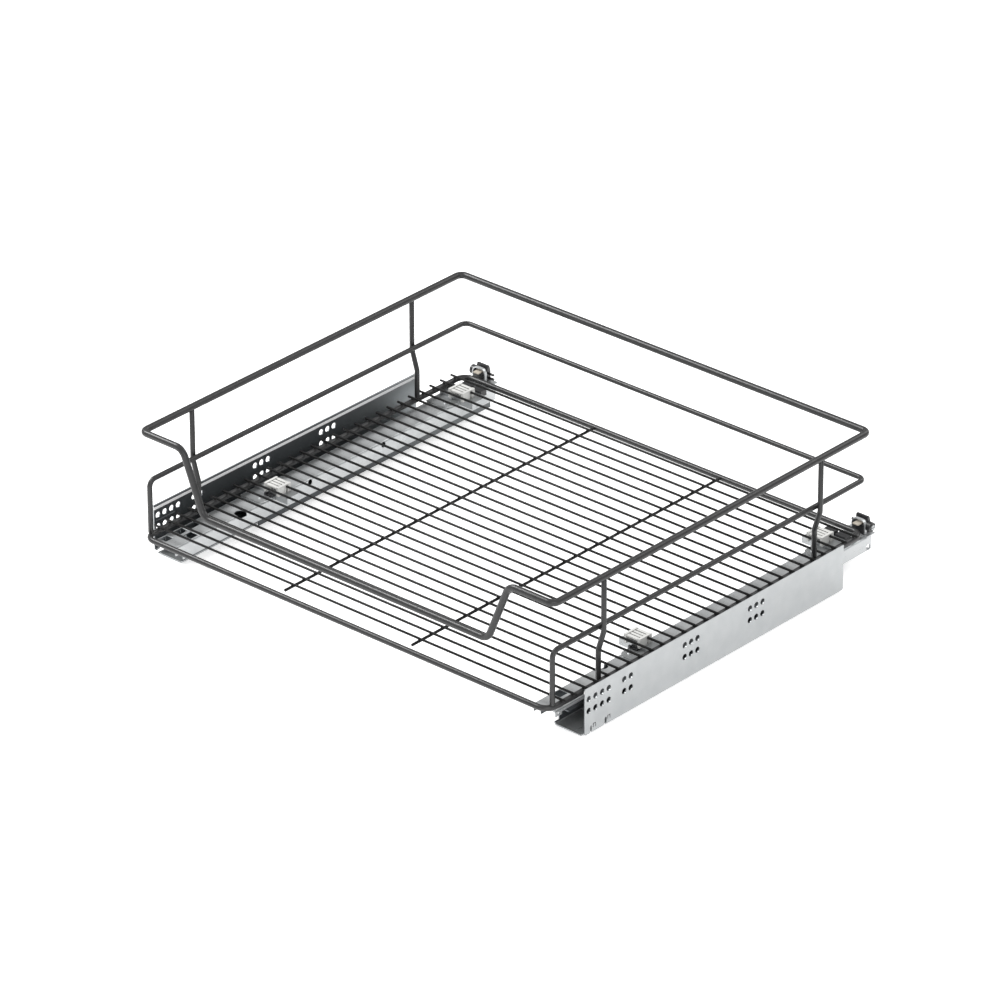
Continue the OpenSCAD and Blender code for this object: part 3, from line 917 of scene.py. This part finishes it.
        # The thin wires take the darker copy of the coating, painted shade.
        thin = self.palette.material(Variant.SHADED_FINE_WIRE.value)
        low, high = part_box("floor_wires")
        z = (low.z + high.z) / 2
        first, last = low.y + mm(self.floor_wire / 2), high.y - mm(self.floor_wire / 2)
        places = [first + (last - first) * i / (self.floor_count - 1) for i in range(self.floor_count)]
        ends = [[Vector((low.x, y, z)), Vector((high.x, y, z))] for y in places]
        grid = self.straight("floor_grid", ends, self.floor_wire, thin, "floor_wires")
        low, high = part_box("lengthwise_wires")
        x, under = high.x - mm(self.long_wire / 2), (low.z + high.z) / 2
        ends = [[Vector((side.value * x, low.y, under)), Vector((side.value * x, high.y, under))]
                for side in Side]
        long_grid = self.straight("long_grid", ends, self.long_wire, thin, "lengthwise_wires")
        return [grid, long_grid, self.welds(thin, places, x, z - mm(self.floor_wire / 2))]

    def welds(self, material: bpy.types.Material, places: list[float], long_x: float,
              z: float) -> bpy.types.Object:
        """Builds the weld nuggets where floor wires cross the rim and the lengthwise wires.

        Args:
            material: their material.
            places: places of the floor wires along Y.
            long_x: distance of a lengthwise wire from the middle of the unit.
            z: height of the nuggets.

        Returns:
            The piece.
        """
        rng = random.Random(SEED)
        rim_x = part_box("base_rim")[1].x - mm(self.rim_wire / 2)
        mesh = bmesh.new()
        for y in places:
            for side in Side:
                nugget_into(mesh, Vector((side.value * rim_x, y, z)), mm_point(self.rim_nugget), rng)
                nugget_into(mesh, Vector((side.value * long_x, y, z)), mm_point(self.long_nugget), rng)
        return new_piece("weld_nuggets", mesh, material, DRAWER)

    def build(self) -> list[bpy.types.Object]:
        """Builds the basket.

        Returns:
            The pieces.
        """
        coat = self.palette.material(Slot.COATING.value)
        wires = [self.base_rim(), self.top_rail(), self.middle_rail()]
        wires += [self.upright(end, side) for end in End for side in Side]
        return [wire.build(coat) for wire in wires] + self.floor()


@dataclass
class Runners:
    """The pair of runners: CAD sheet metal with fine edges, upright lips and domed rivets.

    Args:
        palette: the finishes.
        edge: width of the fine bevel on sheet edges.
        edge_angle: edges sharper than this, in degrees, get it.
        rivet_radius: radius of a rivet's head.
        rivet_steps: rings of a rivet's head.
        rivet_sides: corners of a ring.
        lip_from: height where the cabinet profile's top lip starts.
        lip_high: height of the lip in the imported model.
        lip_lean: how far the lip's top is brought outwards.
        lip_rise: how far it is brought up.
        web_inner: distance of the foot web's inner edge from the profile's outer face.
        web_outer: distance of its outer edge from that face.
        web_length: its length from the profile's front end.
        web_thick: its thickness.
    """

    palette: Palette
    edge: float = 0.22
    edge_angle: float = 40.0
    rivet_radius: float = 2.5
    rivet_steps: int = 6
    rivet_sides: int = 28
    lip_from: float = 45.1
    lip_high: float = 4.5
    lip_lean: float = 1.6
    lip_rise: float = 1.9
    web_inner: float = 14.0
    web_outer: float = 5.0
    web_length: float = 14.3
    web_thick: float = 1.2

    def dress(self) -> list[bpy.types.Object]:
        """Gives each carried-over CAD node its finish and fine rounded edges.

        Returns:
            The nodes.
        """
        slots = {part["node"]: part["material_slot"] for part in frame["record"]["subparts"]}
        dressed = []
        for name, node in frame["nodes"].items():
            if name.startswith(REDRAWN):
                continue
            zone = name.rsplit("_", 1)[0]
            # Painted light: the drawer profiles and rear catches get a lighter copy of the zinc, and nodes
            # with a zone get its painted shade.
            lit_copy = zone in ("drawer_profile", "rear_catch")
            finish = Variant.BRIGHT_ZINC.value if lit_copy else slots[name]
            node.data.materials.clear()
            node.data.materials.append(self.palette.material(finish, zone if zone in PAINTED_SHADES else ""))
            self.soften(node)
            dressed.append(node)
        return dressed

    def soften(self, node: bpy.types.Object) -> None:
        """Adds a fine bevel, so that sheet edges catch the light.

        Args:
            node: the object.
        """
        bevel = node.modifiers.new("fine_edges", "BEVEL")
        bevel.width = mm(self.edge)
        bevel.segments = 2
        bevel.limit_method = "ANGLE"
        bevel.angle_limit = math.radians(self.edge_angle)
        bevel.harden_normals = True

    def rivets(self) -> bpy.types.Object:
        """Builds domed rivet heads on the bracket plates.

        Returns:
            The piece.
        """
        low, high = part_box("bracket_rivets")
        radius = mm(self.rivet_radius)
        mesh = bmesh.new()
        for side in Side:
            for y in (low.y + radius, high.y - radius):
                foot = Vector((side.value * (high.x - radius), y, low.z))
                dome_into(mesh, foot, radius, high.z - low.z, self.rivet_steps, self.rivet_sides)
        return new_piece("rivet_heads", mesh, self.palette.material(Slot.ZINC.value), DRAWER,
                         ("bracket_rivets",))

    def cabinet_rail(self, side: Side) -> bpy.types.Object:
        """Draws a cabinet profile again, its top lip upright and a little taller, as photographed.

        Args:
            side: its side.

        Returns:
            The piece.
        """
        name = f"cabinet_profile_{side.label}"
        outer = max(abs(corner.x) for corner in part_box(name))
        mesh = bmesh.new()
        mesh.from_mesh(frame["nodes"][name].data)
        for vertex in mesh.verts:
            share = (vertex.co.z - mm(self.lip_from)) / mm(self.lip_high)
            if share > 0:
                vertex.co.x = side.value * min(outer, abs(vertex.co.x) + mm(self.lip_lean) * share)
                vertex.co.z += mm(self.lip_rise) * share
        # Painted shade inside the channel, with a painted highlight along the top crease
        material = self.palette.material(Slot.ZINC.value, "cabinet_profile")
        piece = new_piece(f"cabinet_rail_{side.label}", mesh, material, CABINET, (name,))
        self.soften(piece)
        return piece

    def foot_webs(self) -> bpy.types.Object:
        """Builds the strip of floor beside the foot at the front of each cabinet profile.

        Returns:
            The piece.
        """
        low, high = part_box("cabinet_profile_right")
        inner, outer = high.x - mm(self.web_inner), high.x - mm(self.web_outer)
        front, rear = low.y, low.y + mm(self.web_length)
        size = Vector((outer - inner, rear - front, mm(self.web_thick)))
        z = low.z + mm(self.web_thick / 2)
        mesh = bmesh.new()
        for side in Side:
            place = Vector((side.value * (inner + outer) / 2, (front + rear) / 2, z))
            matrix = Matrix.Translation(place) @ Matrix.Diagonal((*size, 1.0))
            bmesh.ops.create_cube(mesh, size=1.0, matrix=matrix)
        piece = new_piece("foot_webs", mesh, self.palette.material(Slot.ZINC.value), CABINET)
        self.soften(piece)
        return piece

    def build(self) -> list[bpy.types.Object]:
        """Builds and dresses the runners.

        Returns:
            The pieces and the dressed nodes.
        """
        dressed = self.dress()
        return dressed + [self.rivets(), *[self.cabinet_rail(side) for side in Side], self.foot_webs()]


@dataclass(frozen=True)
class Lamp:
    """A soft square lamp that points at the object.

    Args:
        name: its name.
        place: where it stands, in metres.
        size: side of its square, in metres.
        power: its power, in watts.
        aim: point that it shines at, in metres.
    """

    name: str
    place: tuple[float, float, float]
    size: float
    power: float
    aim: tuple[float, float, float] = (0.0, 0.0, 0.05)

    def build(self) -> None:
        """Adds the lamp to the scene."""
        data = bpy.data.lights.new(self.name, "AREA")
        data.size = self.size
        data.energy = self.power
        lamp = bpy.data.objects.new(self.name, data)
        bpy.context.scene.collection.objects.link(lamp)
        lamp.location = self.place
        lamp.rotation_euler = (Vector(self.aim) - lamp.location).to_track_quat("-Z", "Y").to_euler()


@dataclass(frozen=True)
class Studio:
    """Pale floor, soft lights and the photograph's camera.

    Args:
        camera_mm: place of the camera.
        target_mm: point that it looks at.
        roll: turn about the line of sight, in degrees.
        lens: focal length.
        sensor: width of the sensor.
        shift: shift of the picture's centre.
        clip_end: farthest distance that it sees, in metres.
        world_strength: brightness of the white surroundings.
        floor_reach: distance from the middle of the floor to its edge, in metres.
        floor_drop: how far the floor lies below the unit, in metres.
        floor_colour: colour of the floor.
        floor_rough: its roughness.
        floor_specular: its specular level.
        floor_glow: how much the camera, and reflections, see the floor lighter than the lamps make it.
        lamps: the lamps.
    """

    camera_mm: tuple[float, float, float] = (4207.0, -4757.2, 3415.5)
    target_mm: tuple[float, float, float] = (0.0, -8.3, 114.25)
    roll: float = -0.111
    lens: float = 263.3
    sensor: float = 36.0
    shift: tuple[float, float] = (-0.0038, -0.0353)
    clip_end: float = 50.0
    world_strength: float = 0.6
    floor_reach: float = 20.0
    floor_drop: float = 0.0005
    floor_colour: tuple[float, float, float] = (0.95, 0.95, 0.95)
    floor_rough: float = 0.9
    floor_specular: float = 0.1
    floor_glow: float = 0.55
    lamps: tuple[Lamp, ...] = (
        Lamp("key", (-2.2, -0.6, 2.6), 1.2, 90.0),
        Lamp("fill", (2.6, -2.0, 1.8), 2.2, 35.0),
        Lamp("rear", (0.6, 3.0, 2.2), 1.8, 30.0),
    )

    def world(self) -> None:
        """Makes the white surroundings."""
        world = bpy.data.worlds.new("studio")
        world.use_nodes = True
        back = world.node_tree.nodes["Background"]
        back.inputs["Color"].default_value = WHITE
        back.inputs["Strength"].default_value = self.world_strength
        bpy.context.scene.world = world

    def floor(self) -> None:
        """Lays the floor, which the camera and reflections see lighter than the lamps make it."""
        mesh = bmesh.new()
        bmesh.ops.create_grid(mesh, x_segments=1, y_segments=1, size=self.floor_reach)
        data = bpy.data.meshes.new("floor")
        mesh.to_mesh(data)
        mesh.free()
        floor = bpy.data.objects.new("floor", data)
        floor.location = (0.0, 0.0, -self.floor_drop)
        bpy.context.scene.collection.objects.link(floor)
        material = bpy.data.materials.new("pale_floor")
        material.use_nodes = True
        tree = material.node_tree
        shader = tree.nodes["Principled BSDF"]
        for name, value in {
            "Base Color": (*self.floor_colour, 1.0), "Roughness": self.floor_rough,
            "Specular IOR Level": self.floor_specular, "Emission Color": WHITE,
        }.items():
            shader.inputs[name].default_value = value
        rays = tree.nodes.new("ShaderNodeLightPath").outputs
        seen = calculate(tree, "MAXIMUM", rays["Is Camera Ray"], rays["Is Glossy Ray"])
        seen = calculate(tree, "MAXIMUM", seen, rays["Is Transmission Ray"])
        glow = calculate(tree, "MULTIPLY", seen, self.floor_glow)
        tree.links.new(glow, shader.inputs["Emission Strength"])
        data.materials.append(material)

    def camera(self) -> None:
        """Creates the camera and makes it the scene's own."""
        data = bpy.data.cameras.new("photo_camera")
        data.lens = self.lens
        data.sensor_width = self.sensor
        data.shift_x, data.shift_y = self.shift
        data.clip_end = self.clip_end
        camera = bpy.data.objects.new("photo_camera", data)
        bpy.context.scene.collection.objects.link(camera)
        place, target = mm_point(self.camera_mm), mm_point(self.target_mm)
        look = (target - place).to_track_quat("-Z", "Y").to_matrix().to_4x4()
        roll = Matrix.Rotation(math.radians(self.roll), 4, "Z")
        camera.matrix_world = Matrix.Translation(place) @ look @ roll
        bpy.context.scene.camera = camera

    def build(self) -> None:
        """Builds surroundings, floor, lamps and camera."""
        bpy.context.scene.view_settings.view_transform = "Standard"
        self.world()
        self.floor()
        for lamp in self.lamps:
            lamp.build()
        self.camera()


def main() -> None:
    """Builds the whole scene and reports each piece."""
    logging.basicConfig(level=logging.INFO)
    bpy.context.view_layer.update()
    palette = Palette()
    Studio().build()
    for piece in Basket(palette).build() + Runners(palette).build():
        LOG.info("piece %s: %d faces, %s", piece.name, len(piece.data.polygons), piece.data.materials[0].name)
    bpy.context.view_layer.update()


if __name__ == "__main__":
    main()
